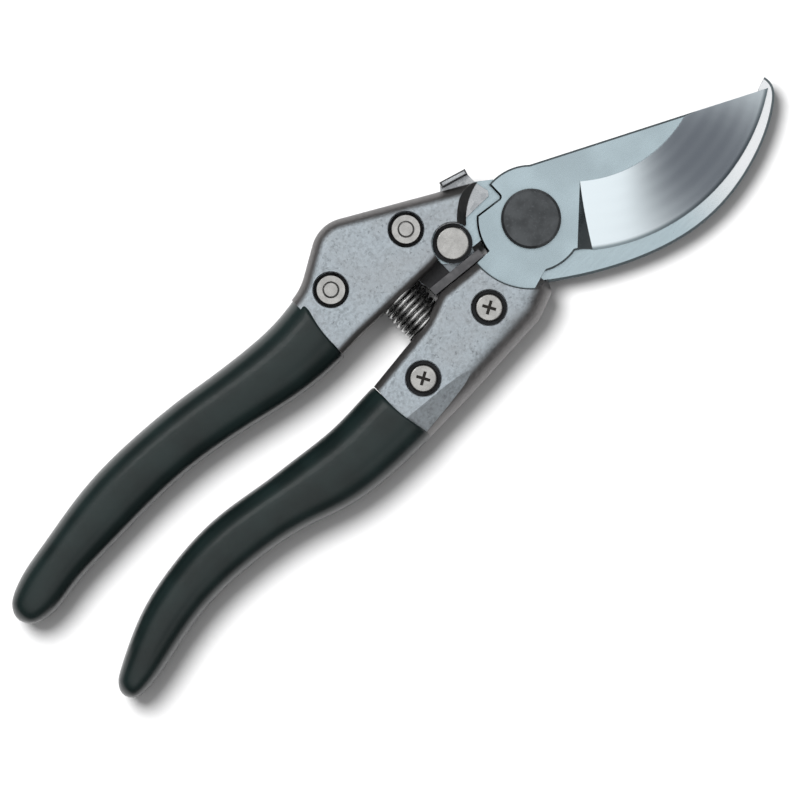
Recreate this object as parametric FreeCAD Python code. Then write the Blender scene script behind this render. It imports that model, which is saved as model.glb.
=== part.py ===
import FreeCAD, Part
import math
import os

# Bypass pruning shears, closed and latched, lying on their back.
# Frame: the origin is on the main pivot's axis, in the plane the tool lies on.
# +X runs from the pivot to the jaws, midway between the closed handles.
# +Z leaves the front, the side with the pivot bolt's head.  Millimetres.

# --- pivot stack, from the rest plane up ---
PIVOT_NUT_AF = 13.0
PIVOT_NUT_HEIGHT = 3.2
LOCK_WASHER_THICK = 1.0
LOCK_WASHER_D = 15.0
HOOK_THICK = 4.0
SHIM_THICK = 0.25
SHIM_INSET = 0.3
AXIAL_FLOAT = 0.05
BLADE_THICK = 3.0
SPRING_WASHER_THICK = 0.45
SPRING_WASHER_D = 13.0
PIVOT_HEAD_D = 14.4
PIVOT_HEAD_HEIGHT = 2.2
PIVOT_D = 8.0
PIVOT_FIT = 0.03
BUSH_WALL = 1.0

# --- jaws ---
BOSS_R = 13.0
JAW_LENGTH = 63.0
HOOK_OVERHANG = 1.3
HOOK_CHAMFER = 0.6
BLADE_CHAMFER = 0.45
SPINE_DROP = 0.55
BLADE_TIP = (JAW_LENGTH, -16.5)
BLADE_BELLY = (JAW_LENGTH * 0.53, -25.5)
BLADE_HEEL = (6.0, -15.9)
EDGE_LAND = 0.35
NOTCH_WALL_X = -1.6
NOTCH_DEPTH = 4.3
GRIND_WIDTH = 16.8
GRIND_DISH = 0.3

# --- handle castings ---
BACK_CHEEK = 2.9
FRONT_CHEEK = 4.2
BLADE_CHEEK_GAP = 4.0
HOOK_CHEEK_GAP = 2.6
HOOK_CHEEK_SLOPE = 2.2
HEEL_GAP = 6.0
EDGE_ROUND = 3.4
OUTER_ROUND = 6.2
FLANK_SLOPE = 20.0
CORE_WALL = 2.6
TANG_WALL = 0.7

# --- grips ---
GRIP_START = -55.0
HOOK_GRIP_LENGTH = 101.2
BLADE_GRIP_LENGTH = 95.3
GRIP_STEP = 1.3
CORE_LENGTH = 62.0

# --- fasteners ---
SCREW_D = 4.0
HOOK_SCREWS = [(-23.5, 18.8), (-46.5, 20.7)]
BLADE_SCREWS = [(-22.0, -8.5), (-45.1, -9.9)]
HEX_NUT_AF = 7.0
HEX_NUT_HEIGHT = 3.2
STUD_PROUD = 0.8
NUT_SINK = 0.6
COUNTERBORE_GAP = 0.36
WASHER_THICK = 0.6
WASHER_GAP = 0.2
BACK_HEAD_D = 7.6
BACK_HEAD_HEIGHT = 2.1
BACK_HEAD_SINK = 1.0
CROSS_HEAD_D = 6.8
CROSS_HEAD_HEIGHT = 1.9

# --- latch ---
LATCH_X = -17.7
LATCH_Y = 8.7
LATCH_END_R = 4.6
NOSE_PLAY = 1.2
NOSE_DEPTH = 0.9
LATCH_THICK = 2.5
LATCH_FLOAT = 0.1
LATCH_PIN_D = 4.0
LATCH_FIT = 0.05
LATCH_POCKET_GAP = 0.3
LATCH_HEAD_D = 8.0
LATCH_HEAD_HEIGHT = 2.3
LATCH_WASHER_D = 9.6
LATCH_WASHER_THICK = 0.8
WAVE_WASHER_THICK = 0.4
LATCH_GAP = 0.35
TAB_THICK = 1.5
TAB_PROUD = 1.2

# --- stop and spring ---
BUMPER_THICK = 2.1
STOP_FRONT_X = -14.2
STOP_BACK_X = -29.2
STOP_SKIRT = 1.3
BUMPER_GAP = 0.3
SPRING_X = -35.6
SPRING_OD = 11.2
SPRING_WIRE = 1.1
SPRING_POCKET_GAP = 0.4
SPRING_TOP_Y = 13.6
SPRING_BOTTOM_Y = -5.4

# --- sizes worked out from those above ---
BLADE_CHEEK_R = BOSS_R + BLADE_CHEEK_GAP
HOOK_CHEEK_R = BOSS_R + HOOK_CHEEK_GAP
SPINE_OFFSET = BOSS_R - SPINE_DROP
COUNTERBORE_R = HEX_NUT_AF / math.sqrt(3) + COUNTERBORE_GAP
WASHER_R = COUNTERBORE_R - WASHER_GAP
BACK_BORE_R = BACK_HEAD_D / 2 + COUNTERBORE_GAP
SPRING_POCKET_R = SPRING_OD / 2 + SPRING_POCKET_GAP
LATCH_POCKET_R = LATCH_WASHER_D / 2 + LATCH_POCKET_GAP
Z_HOOK = PIVOT_NUT_HEIGHT + LOCK_WASHER_THICK
Z_HOOK_TOP = Z_HOOK + HOOK_THICK
Z_BLADE = Z_HOOK_TOP + SHIM_THICK + AXIAL_FLOAT
Z_BLADE_TOP = Z_BLADE + BLADE_THICK
Z_CAST = Z_HOOK - BACK_CHEEK
Z_CAST_TOP = Z_BLADE_TOP + FRONT_CHEEK
Z_GRIP = Z_CAST - GRIP_STEP
Z_GRIP_TOP = Z_CAST_TOP + GRIP_STEP
Z_MID = (Z_CAST + Z_CAST_TOP) / 2
Z_LATCH = Z_HOOK_TOP + LATCH_FLOAT
Z_LATCH_TOP = Z_LATCH + LATCH_THICK
FAR = 200.0


def vec(x, y, z=0.0):
    return FreeCAD.Vector(x, y, z)


def on_circle(radius, degrees):
    angle = math.radians(degrees)
    return (radius * math.cos(angle), radius * math.sin(angle))


def line(a, b):
    return Part.makeLine(vec(*a), vec(*b))


def arc(a, middle, b):
    return Part.Arc(vec(*a), vec(*middle), vec(*b)).toShape()


def curve(points):
    spline = Part.BSplineCurve()
    spline.interpolate([vec(*p) for p in points])
    return spline.toShape()


def slab(edges, low, high):
    wire = Part.Wire(Part.__sortEdges__(edges))
    wire.translate(vec(0, 0, low))
    return Part.Face(wire).extrude(vec(0, 0, high - low))


def cylinder(radius, low, high, x=0.0, y=0.0):
    return Part.makeCylinder(radius, high - low, vec(x, y, low))


def ring(outer, inner, low, high, x=0.0, y=0.0):
    return cylinder(outer, low, high, x, y).cut(cylinder(inner, low, high, x, y))


def hexagon(across, low, high, x=0.0, y=0.0):
    radius = across / math.sqrt(3)
    points = []
    for step in range(7):
        px, py = on_circle(radius, 60 * step + 30)
        points.append(vec(px + x, py + y, low))
    return Part.Face(Part.makePolygon(points)).extrude(vec(0, 0, high - low))


def block(x0, x1, y0, y1, z0, z1):
    return Part.makeBox(x1 - x0, y1 - y0, z1 - z0, vec(x0, y0, z0))


def rounded(corners):
    """Edges of a closed outline; each corner is (x, y, radius)."""
    starts = []
    ends = []
    middles = []
    count = len(corners)
    for i, (x, y, radius) in enumerate(corners):
        here = vec(x, y)
        before = (vec(*corners[i - 1][:2]) - here).normalize()
        after = (vec(*corners[(i + 1) % count][:2]) - here).normalize()
        half = before.getAngle(after) / 2
        reach = radius / math.tan(half)
        starts.append(here + before * reach)
        ends.append(here + after * reach)
        inward = (before + after).normalize()
        middles.append(here + inward * (radius / math.sin(half) - radius))
    edges = []
    for i in range(count):
        if corners[i][2] > 0:
            edges.append(Part.Arc(starts[i], middles[i], ends[i]).toShape())
        edges.append(Part.makeLine(ends[i], starts[(i + 1) % count]))
    return edges


def level_edges(solid, heights, keep):
    """Edges lying flat at one of the heights whose middle passes the test."""
    found = []
    for edge in solid.Edges:
        box = edge.BoundBox
        flat = box.ZLength < 1e-6
        near = any(abs(box.ZMin - height) < 1e-6 for height in heights)
        if flat and near and keep(box.Center):
            found.append(edge)
    return found


def one_solid(shape):
    solids = sorted(shape.Solids, key=lambda item: item.Volume)
    return solids[-1].removeSplitter()


def write(name, shape):
    shape.exportStep("parts/" + name + ".step")
    print(name, len(shape.Solids), round(shape.Volume, 1), shape.isValid())


# --- outlines shared by a piece and what it fits ---

def spine_end():
    """Where the blade's straight back meets its round boss."""
    tip_angle = math.degrees(math.atan2(BLADE_TIP[1], BLADE_TIP[0]))
    tip_distance = math.hypot(BLADE_TIP[1], BLADE_TIP[0])
    normal = tip_angle + math.degrees(math.acos(SPINE_OFFSET / tip_distance))
    return on_circle(BOSS_R, normal + math.degrees(math.acos(SPINE_OFFSET / BOSS_R)))


def blade_tang():
    return rounded([
        (0.0, 1.25, 0), (-17.5, 1.25, 4), (-24.0, -0.4, 3),
        (SPRING_X + SPRING_POCKET_R + 2.6, SPRING_BOTTOM_Y - TANG_WALL, 2),
        (-50.5, SPRING_BOTTOM_Y - TANG_WALL, 3), (-50.5, -14.4, 3), (-26.0, -14.4, 6),
        (-11.5, -13.0, 2), (0.0, -9.0, 0)])


def hook_tang():
    return rounded([
        (0.0, 13.2, 0), (-4.6, 16.6, 1), (-22.0, 25.2, 4), (-38.0, 28.2, 6), (-52.0, 24.6, 3),
        (-52.0, SPRING_TOP_Y + 2 * TANG_WALL, 3),
        (SPRING_X + SPRING_POCKET_R + TANG_WALL, SPRING_TOP_Y + 2 * TANG_WALL, 3),
        (-24.5, 8.5, 3), (-21.5, 5.6, 3), (-13.0, 4.6, 0), (0.0, 4.6, 0)])


def hook_handle_plan():
    return rounded([
        (-3.0, 15.2, 0), (-37.9, 34.2, 9), (-51.5, 26.0, 14), (-60.0, 24.6, 0),
        (-60.0, 7.3, 0), (-50.0, 8.0, 30), (-24.6, 7.9, 4), (-11.0, 9.9, 0)])


def stop_line(x):
    """Y of the rubber stop's working face, which leans with the blade's handle."""
    return 1.35 + (STOP_FRONT_X - x) / 13


def blade_handle_plan():
    return rounded([
        (-12.0, stop_line(-12.0) - BUMPER_GAP, 0), (-28.2, stop_line(-28.2) - BUMPER_GAP, 4),
        (-35.5, -0.7, 9), (-60.0, -3.8, 0),
        (-60.0, -21.6, 0), (-38.0, -20.6, 60), (-15.0, -18.9, 7), (-8.3, -16.2, 2.5),
        (-7.0, -13.2, 0)])


def grip_section(x, high_y, low_y, thinning, inset):
    """One closed, rounded cross-section of a grip, standing across the handle."""
    half_width = (high_y - low_y) / 2 - inset
    half_depth = (Z_GRIP_TOP - Z_GRIP) / 2 - thinning - inset
    squareness = 2 / 2.7
    points = []
    for step in range(16):
        angle = math.radians(22.5 * step)
        across = math.copysign(abs(math.cos(angle)) ** squareness, math.cos(angle))
        upward = math.copysign(abs(math.sin(angle)) ** squareness, math.sin(angle))
        y = (high_y + low_y) / 2 + half_width * across
        points.append(vec(x, y, Z_MID + half_depth * upward))
    spline = Part.BSplineCurve()
    spline.interpolate(Points=points, PeriodicFlag=True)
    return Part.Wire(spline.toShape())


def grip_body(stations, grip_length, inset, reach):
    """The part of a grip's form, drawn in by the inset, that lies within the reach of its mouth.

    Each station holds its share of the length, the Y of both sides, and the drop in half depth.
    """
    wires = []
    for share, high_y, low_y, thinning in stations:
        distance = share * grip_length
        if distance <= reach:
            wires.append(grip_section(GRIP_START - distance, high_y, low_y, thinning, inset))
    return Part.makeLoft(wires, True, False)


# Stations of the two grips: share of the length, Y of both sides, drop in half depth.
HOOK_GRIP = [
    (0.00, 25.7, 6.8, 0.0), (0.07, 24.0, 6.8, 0.1), (0.15, 24.3, 7.6, 0.1),
    (0.26, 25.4, 9.9, 0.2), (0.38, 27.0, 12.1, 0.4), (0.50, 27.7, 13.2, 0.6),
    (0.63, 27.5, 13.0, 0.8), (0.76, 25.5, 12.4, 1.0), (0.87, 23.4, 11.1, 1.2),
    (0.94, 21.5, 10.3, 1.8), (0.98, 19.1, 12.2, 3.2), (1.00, 17.0, 14.4, 5.8)]
BLADE_GRIP = [
    (0.00, -3.2, -21.3, 0.0), (0.08, -3.6, -21.5, 0.1), (0.17, -3.8, -21.2, 0.1),
    (0.28, -2.6, -19.2, 0.2), (0.40, -1.3, -15.5, 0.4), (0.52, 0.2, -13.9, 0.6),
    (0.64, -0.3, -13.4, 0.8), (0.76, -2.3, -14.8, 1.0), (0.87, -6.1, -17.4, 1.2),
    (0.94, -9.6, -18.5, 1.8), (0.98, -11.9, -17.9, 3.2), (1.00, -13.8, -16.0, 5.8)]


def grip_core(stations, grip_length):
    """The casting's tail inside a grip: the same form, smaller and shorter."""
    return grip_body(stations, grip_length, CORE_WALL, CORE_LENGTH)


def grip_sleeve(stations, grip_length):
    outside = grip_body(stations, grip_length, 0.0, grip_length)
    return one_solid(outside.cut(grip_core(stations, grip_length)))


# --- pivot ---

def pivot_bolt():
    z_head = Z_BLADE_TOP + AXIAL_FLOAT + SPRING_WASHER_THICK
    head = cylinder(PIVOT_HEAD_D / 2, z_head, z_head + PIVOT_HEAD_HEIGHT)
    head = head.makeChamfer(0.6, level_edges(head, [z_head + PIVOT_HEAD_HEIGHT], lambda c: True))
    shank = cylinder(PIVOT_D / 2, 0, z_head)
    return head.fuse(shank).removeSplitter()


def pivot_nut():
    nut = hexagon(PIVOT_NUT_AF, 0, PIVOT_NUT_HEIGHT)
    return nut.cut(cylinder(PIVOT_D / 2, 0, PIVOT_NUT_HEIGHT))


def pivot_lock_washer():
    washer = ring(LOCK_WASHER_D / 2, PIVOT_D / 2, PIVOT_NUT_HEIGHT, Z_HOOK)
    for tooth in range(12):
        x, y = on_circle(LOCK_WASHER_D / 2, 30 * tooth)
        washer = washer.cut(cylinder(0.7, PIVOT_NUT_HEIGHT, Z_HOOK, x, y))
    return washer


def pivot_spring_washer():
    low = Z_BLADE_TOP + AXIAL_FLOAT
    return ring(SPRING_WASHER_D / 2, PIVOT_D / 2, low, low + SPRING_WASHER_THICK)


def thrust_shim():
    outer = BOSS_R - NOTCH_DEPTH - SHIM_INSET
    return ring(outer, PIVOT_D / 2, Z_HOOK_TOP, Z_HOOK_TOP + SHIM_THICK)


def pivot_bush():
    inner = PIVOT_D / 2 + PIVOT_FIT
    return ring(inner + BUSH_WALL, inner, Z_BLADE, Z_BLADE_TOP)


# --- jaws ---

def blade_blank():
    """The blade's flat blank: jaw, round boss and tang, before notch, holes and grinding."""
    back = spine_end()
    neck_top = (-9.0, -9.0)
    neck_foot = (-9.0, -12.2)
    jaw = slab([
        line(BLADE_TIP, back),
        line(back, neck_top),
        line(neck_top, neck_foot),
        curve([neck_foot, (-4.4, -11.1), (0.3, -11.8), BLADE_HEEL]),
        arc(BLADE_HEEL, BLADE_BELLY, BLADE_TIP)], Z_BLADE, Z_BLADE_TOP)
    boss = cylinder(BOSS_R, Z_BLADE, Z_BLADE_TOP)
    return one_solid(jaw.fuse([boss, slab(blade_tang(), Z_BLADE, Z_BLADE_TOP)]))


def cutting_blade():
    blade = blade_blank()
    blade = blade.cut(slab(rounded([
        (NOTCH_WALL_X, FAR, 0), (NOTCH_WALL_X, BOSS_R - NOTCH_DEPTH, 0.6),
        (-8.9, BOSS_R - NOTCH_DEPTH + 0.8, 0), (-9.6, BOSS_R - 1.0, 0), (-9.6, FAR, 0)]),
        Z_BLADE, Z_BLADE_TOP))
    # The spine, boss, notch and neck; the tang is hidden, and the curved edge is ground.
    outline = level_edges(blade, [Z_BLADE_TOP], lambda c: c.y > BLADE_HEEL[1] and (c.x > -7 or c.y > 4))
    blade = blade.makeChamfer(BLADE_CHAMFER, outline)
    blade = blade.cut(hollow_grind())
    blade = blade.cut(cylinder(PIVOT_D / 2 + PIVOT_FIT + BUSH_WALL, Z_BLADE, Z_BLADE_TOP))
    for x, y in BLADE_SCREWS:
        blade = blade.cut(cylinder(SCREW_D / 2, Z_BLADE, Z_BLADE_TOP, x, y))
    return one_solid(blade)


def hollow_grind():
    """What the wheel takes from the blade's front: a dished band round the curved edge."""
    edge_circle = arc(BLADE_HEEL, BLADE_BELLY, BLADE_TIP).Curve
    centre = edge_circle.Center
    radius = edge_circle.Radius
    low = Z_BLADE + EDGE_LAND
    high = Z_BLADE_TOP
    inner = (centre.x + radius - GRIND_WIDTH, high)
    outer = (centre.x + radius, low)
    dish = (centre.x + radius - GRIND_WIDTH * 0.45, (low + high) / 2 - GRIND_DISH)
    beyond = centre.x + radius + 3
    corners = [inner, dish, outer, (beyond, low), (beyond, high)]
    points = [vec(x, centre.y, z) for x, z in corners]
    profile = Part.Wire([
        Part.Arc(points[0], points[1], points[2]).toShape(),
        Part.makeLine(points[2], points[3]),
        Part.makeLine(points[3], points[4]),
        Part.makeLine(points[4], points[0])])
    swept = Part.Face(profile).revolve(vec(centre.x, centre.y, 0), vec(0, 0, 1), 360)
    return swept.common(grind_reach(low, high))


def grind_reach(low, high):
    """Everything in front of the wheel's sloping run-out, which starts by the boss."""
    foot = Part.makePolygon([
        vec(3.6, -18.1, low), vec(18.9, -0.1, low), vec(FAR, -0.1, low), vec(FAR, -FAR, low),
        vec(3.6, -FAR, low), vec(3.6, -18.1, low)])
    brow = Part.makePolygon([
        vec(-2.2, -18.1, high), vec(16.2, -0.1, high), vec(FAR, -0.1, high), vec(FAR, -FAR, high),
        vec(-2.2, -FAR, high), vec(-2.2, -18.1, high)])
    return Part.makeLoft([foot, brow], True, True)


def hook_blank():
    """The counter blade's flat blank: hooked jaw, round boss and tang, without its holes."""
    tip = (JAW_LENGTH + HOOK_OVERHANG, -14.0)
    lip = (JAW_LENGTH - 1.4, -15.0)
    root = on_circle(BOSS_R, -25)
    inside = on_circle(BOSS_R / 2, 60)
    heel = (-7.7, -13.6)
    heel_top = (-9.0, -4.0)
    jaw = slab([
        line(tip, lip),
        arc(lip, (JAW_LENGTH * 0.55, -20.4), root),
        line(root, inside),
        line(inside, heel_top),
        line(heel_top, heel),
        curve([
            heel, (JAW_LENGTH * 0.17, -24.2), (JAW_LENGTH * 0.52, -29.4), (JAW_LENGTH * 0.78, -26.6),
            (JAW_LENGTH * 0.965, -20.7), (JAW_LENGTH + HOOK_OVERHANG - 0.1, -17.0), tip])],
        Z_HOOK, Z_HOOK_TOP)
    boss = cylinder(BOSS_R, Z_HOOK, Z_HOOK_TOP)
    return one_solid(jaw.fuse([boss, slab(hook_tang(), Z_HOOK, Z_HOOK_TOP)]))


def counter_blade():
    hook = hook_blank()
    long_edge = level_edges(hook, [Z_HOOK, Z_HOOK_TOP], lambda c: c.y < -20 and c.x > 0)
    hook = hook.makeChamfer(HOOK_CHAMFER, long_edge)
    hook = hook.cut(cylinder(PIVOT_D / 2, Z_HOOK, Z_HOOK_TOP))
    hook = hook.cut(cylinder(LATCH_PIN_D / 2, Z_HOOK, Z_HOOK_TOP, LATCH_X, LATCH_Y))
    for x, y in HOOK_SCREWS:
        hook = hook.cut(cylinder(SCREW_D / 2, Z_HOOK, Z_HOOK_TOP, x, y))
    return one_solid(hook)


# --- castings ---

def spring_pocket(y0, y1):
    return Part.makeCylinder(SPRING_POCKET_R, y1 - y0, vec(SPRING_X, y0, Z_MID), vec(0, 1, 0))


def casting(plan, above, upper_round, below, lower_round):
    """A handle's plan pulled up to full depth with both long sides rounded."""
    solid = slab(plan, Z_CAST, Z_CAST_TOP)
    levels = (Z_CAST, Z_CAST_TOP)
    upper = level_edges(solid, levels, lambda c: c.y > above and c.x > -59.9)
    solid = solid.makeFillet(upper_round, upper)
    lower = level_edges(solid, levels, lambda c: c.y < below and c.x > -59.9)
    solid = solid.makeFillet(lower_round, lower)
    return solid.common(block(GRIP_START, FAR, -FAR, FAR, Z_CAST, Z_CAST_TOP))


def hook_handle():
    body = casting(hook_handle_plan(), 14.0, EDGE_ROUND, 10.0, 2.4)
    pad = slab(rounded([
        (STOP_FRONT_X, stop_line(STOP_FRONT_X) + BUMPER_THICK, 0),
        (STOP_BACK_X, stop_line(STOP_BACK_X) + BUMPER_THICK, 2),
        (-30.0, 9.0, 2), (-27.0, 14.0, 0), (-14.0, 14.0, 0)]), Z_CAST, Z_HOOK_TOP)
    body = body.fuse([pad, grip_core(HOOK_GRIP, HOOK_GRIP_LENGTH)])
    body = body.cut(cylinder(HOOK_CHEEK_R, Z_CAST, Z_CAST_TOP))
    top_r = HOOK_CHEEK_R + HOOK_CHEEK_SLOPE
    slope = Part.makeCone(HOOK_CHEEK_R, top_r, FRONT_CHEEK, vec(0, 0, Z_BLADE_TOP))
    body = body.cut(slope)
    body = body.cut(hook_blank())
    room_top = Z_LATCH_TOP + LATCH_GAP
    room = slab(rounded([
        (-22.9, 8.7, 0), (-17.0, 18.0, 0), (-15.0, 24.5, 0), (0.0, 24.5, 0), (0.0, 2.0, 0),
        (-22.9, 2.0, 0)]), Z_HOOK_TOP, room_top)
    body = body.cut(room)
    body = body.cut(cylinder(LATCH_POCKET_R, Z_HOOK_TOP, Z_CAST_TOP, LATCH_X, LATCH_Y))
    body = body.cut(cylinder(LATCH_PIN_D / 2, Z_CAST, Z_CAST_TOP, LATCH_X, LATCH_Y))
    body = body.cut(spring_pocket(0.0, SPRING_TOP_Y))
    for x, y in HOOK_SCREWS:
        body = body.cut(cylinder(SCREW_D / 2, Z_CAST, Z_CAST_TOP, x, y))
        body = body.cut(cylinder(COUNTERBORE_R, nut_floor(), Z_CAST_TOP, x, y))
        body = body.cut(cylinder(BACK_BORE_R, Z_CAST, Z_CAST + BACK_HEAD_SINK, x, y))
    return one_solid(body)


def blade_flank():
    """What is taken off the front of the blade's casting to slope it away to its outer side."""
    taken = block(0, 60, -15, 0, 0, 12)
    taken.rotate(vec(0, 0, 0), vec(1, 0, 0), FLANK_SLOPE)
    taken.rotate(vec(0, 0, 0), vec(0, 0, 1), -4.1)
    taken.translate(vec(-60.0, -13.6, Z_CAST_TOP))
    return taken


def blade_handle():
    body = casting(blade_handle_plan(), -5.0, 2.8, -10.0, OUTER_ROUND).cut(blade_flank())
    body = body.fuse(grip_core(BLADE_GRIP, BLADE_GRIP_LENGTH))
    over_blade = cylinder(BLADE_CHEEK_R, Z_HOOK_TOP, Z_CAST_TOP)
    body = body.cut(over_blade.common(block(-FAR, FAR, -13.2, FAR, 0, FAR)))
    body = body.cut(cylinder(BOSS_R + HEEL_GAP, Z_CAST, Z_BLADE))
    body = body.cut(blade_blank())
    body = body.cut(spring_pocket(SPRING_BOTTOM_Y, 10.0))
    for x, y in BLADE_SCREWS:
        body = body.cut(cylinder(SCREW_D / 2, Z_CAST, Z_CAST_TOP, x, y))
        body = body.cut(cylinder(COUNTERBORE_R, cross_floor(), Z_CAST_TOP, x, y))
        body = body.cut(cylinder(COUNTERBORE_R, Z_CAST, back_nut_floor(), x, y))
    return one_solid(body)


def hook_grip():
    return grip_sleeve(HOOK_GRIP, HOOK_GRIP_LENGTH)


def blade_grip():
    return grip_sleeve(BLADE_GRIP, BLADE_GRIP_LENGTH)


# --- fasteners ---

def nut_floor():
    return Z_CAST_TOP - NUT_SINK - HEX_NUT_HEIGHT - WASHER_THICK


def cross_floor():
    return Z_CAST_TOP - CROSS_HEAD_HEIGHT - WASHER_THICK


def back_nut_floor():
    return Z_CAST + HEX_NUT_HEIGHT + 0.2


def hook_nuts():
    low = nut_floor() + WASHER_THICK
    nuts = []
    for x, y in HOOK_SCREWS:
        nut = hexagon(HEX_NUT_AF, low, low + HEX_NUT_HEIGHT, x, y)
        crown = Part.makeCone(HEX_NUT_AF / 2 + 2.0, HEX_NUT_AF / 2 - 0.1, HEX_NUT_HEIGHT, vec(x, y, low))
        nuts.append(nut.common(crown).cut(cylinder(SCREW_D / 2, low, low + HEX_NUT_HEIGHT, x, y)))
    return Part.makeCompound(nuts)


def hook_washers():
    low = nut_floor()
    rings = []
    for x, y in HOOK_SCREWS:
        rings.append(ring(WASHER_R, SCREW_D / 2, low, low + WASHER_THICK, x, y))
    return Part.makeCompound(rings)


def hook_bolts():
    seat = Z_CAST + BACK_HEAD_SINK
    top = nut_floor() + WASHER_THICK + HEX_NUT_HEIGHT + STUD_PROUD
    bolts = []
    for x, y in HOOK_SCREWS:
        head = cylinder(BACK_HEAD_D / 2, seat - BACK_HEAD_HEIGHT, seat, x, y)
        head = head.makeFillet(0.8, level_edges(head, [seat - BACK_HEAD_HEIGHT], lambda c: True))
        shank = cylinder(SCREW_D / 2, seat, top, x, y)
        shank = shank.makeChamfer(0.4, level_edges(shank, [top], lambda c: True))
        bolts.append(head.fuse(shank).removeSplitter())
    return Part.makeCompound(bolts)


def blade_screws():
    seat = cross_floor() + WASHER_THICK
    bottom = Z_CAST + 0.3
    screws = []
    for x, y in BLADE_SCREWS:
        head = cylinder(CROSS_HEAD_D / 2, seat, seat + CROSS_HEAD_HEIGHT, x, y)
        top = seat + CROSS_HEAD_HEIGHT
        head = head.makeFillet(0.6, level_edges(head, [top], lambda c: True))
        for turn in (30, 120):
            slot = block(-1.7, 1.7, -0.35, 0.35, top - 1.3, top)
            slot.rotate(vec(0, 0, 0), vec(0, 0, 1), turn)
            slot.translate(vec(x, y, 0))
            head = head.cut(slot)
        screws.append(head.fuse(cylinder(SCREW_D / 2, bottom, seat, x, y)).removeSplitter())
    return Part.makeCompound(screws)


def blade_washers():
    low = cross_floor()
    rings = []
    for x, y in BLADE_SCREWS:
        rings.append(ring(WASHER_R, SCREW_D / 2, low, low + WASHER_THICK, x, y))
    return Part.makeCompound(rings)


def blade_nuts():
    high = back_nut_floor()
    nuts = []
    for x, y in BLADE_SCREWS:
        nut = hexagon(HEX_NUT_AF, high - HEX_NUT_HEIGHT, high, x, y)
        nuts.append(nut.cut(cylinder(SCREW_D / 2, high - HEX_NUT_HEIGHT, high, x, y)))
    return Part.makeCompound(nuts)


# --- latch, stop and spring ---

def latch_lever():
    """A flat lever with a nose for the blade's notch and a thumb tab folded up."""
    arm = slab(rounded([
        (NOTCH_WALL_X - NOSE_PLAY - 0.7, BOSS_R - NOSE_DEPTH - 1.1, 0.3),
        (NOTCH_WALL_X - NOSE_PLAY, BOSS_R - NOSE_DEPTH, 0.2), (-3.7, 15.6, 1), (-3.6, 19.2, 0.4),
        (-10.2, 20.9, 0.4), (-13.2, 17.3, 1), (-21.0, 11.9, 0), (LATCH_X, LATCH_Y, 0),
        (LATCH_X + 2, BOSS_R - NOSE_DEPTH - 1.2, 0)]), Z_LATCH, Z_LATCH_TOP)
    arm = arm.fuse(cylinder(LATCH_END_R, Z_LATCH, Z_LATCH_TOP, LATCH_X, LATCH_Y))
    tab = block(0.0, 6.9, -TAB_THICK, 0.0, Z_LATCH, Z_CAST_TOP + TAB_PROUD)
    top = level_edges(tab, [Z_CAST_TOP + TAB_PROUD], lambda c: True)
    tab = tab.makeFillet(0.6, top)
    tab.rotate(vec(0, 0, 0), vec(0, 0, 1), -15.5)
    tab.translate(vec(-10.0, 21.4, 0))
    lever = arm.fuse(tab)
    hole = cylinder(LATCH_PIN_D / 2 + LATCH_FIT, Z_LATCH, Z_LATCH_TOP, LATCH_X, LATCH_Y)
    return one_solid(lever.cut(hole))


def latch_wave_washer():
    low = Z_LATCH_TOP + AXIAL_FLOAT
    return ring(LATCH_WASHER_D / 2 - 0.6, LATCH_PIN_D / 2, low, low + WAVE_WASHER_THICK, LATCH_X, LATCH_Y)


def latch_washer():
    low = Z_LATCH_TOP + AXIAL_FLOAT + WAVE_WASHER_THICK
    return ring(LATCH_WASHER_D / 2, LATCH_PIN_D / 2, low, low + LATCH_WASHER_THICK, LATCH_X, LATCH_Y)


def latch_pin():
    low = Z_LATCH_TOP + AXIAL_FLOAT + WAVE_WASHER_THICK + LATCH_WASHER_THICK
    head = cylinder(LATCH_HEAD_D / 2, low, low + LATCH_HEAD_HEIGHT, LATCH_X, LATCH_Y)
    rim = level_edges(head, [low + LATCH_HEAD_HEIGHT], lambda c: True)
    head = head.makeFillet(0.45, rim)
    shank = cylinder(LATCH_PIN_D / 2, Z_CAST + 0.4, low, LATCH_X, LATCH_Y)
    return head.fuse(shank).removeSplitter()


def bumper():
    """The rubber bar that the blade's handle closes against, with a skirt up to the hook's casting."""
    front = stop_line(STOP_FRONT_X)
    back = stop_line(STOP_BACK_X)
    bar = slab(rounded([
        (STOP_FRONT_X, front, 0), (STOP_FRONT_X, front + BUMPER_THICK, 0),
        (STOP_BACK_X, back + BUMPER_THICK, 0), (STOP_BACK_X, back, 0)]),
        Z_CAST + 1.0, Z_CAST_TOP - 2.4)
    near_latch = LATCH_X - LATCH_END_R - 0.6
    skirt = slab(rounded([
        (near_latch, stop_line(near_latch) + 0.5, 0), (near_latch, 12.0, 0),
        (STOP_BACK_X - 0.6, 12.0, 0), (STOP_BACK_X, back + 0.5, 0)]),
        Z_HOOK_TOP, Z_HOOK_TOP + STOP_SKIRT)
    skirt = skirt.cut([slab(hook_handle_plan(), Z_CAST, Z_CAST_TOP), spring_pocket(0.0, SPRING_TOP_Y)])
    return one_solid(bar.fuse(skirt))


def return_spring():
    """The coil, drawn as the sleeve that its turns fill while it is closed up."""
    length = SPRING_TOP_Y - SPRING_BOTTOM_Y - 0.4
    base = vec(SPRING_X, SPRING_BOTTOM_Y + 0.2, Z_MID)
    outer = Part.makeCylinder(SPRING_OD / 2, length, base, vec(0, 1, 0))
    inner = Part.makeCylinder(SPRING_OD / 2 - SPRING_WIRE, length, base, vec(0, 1, 0))
    return outer.cut(inner)


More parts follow.
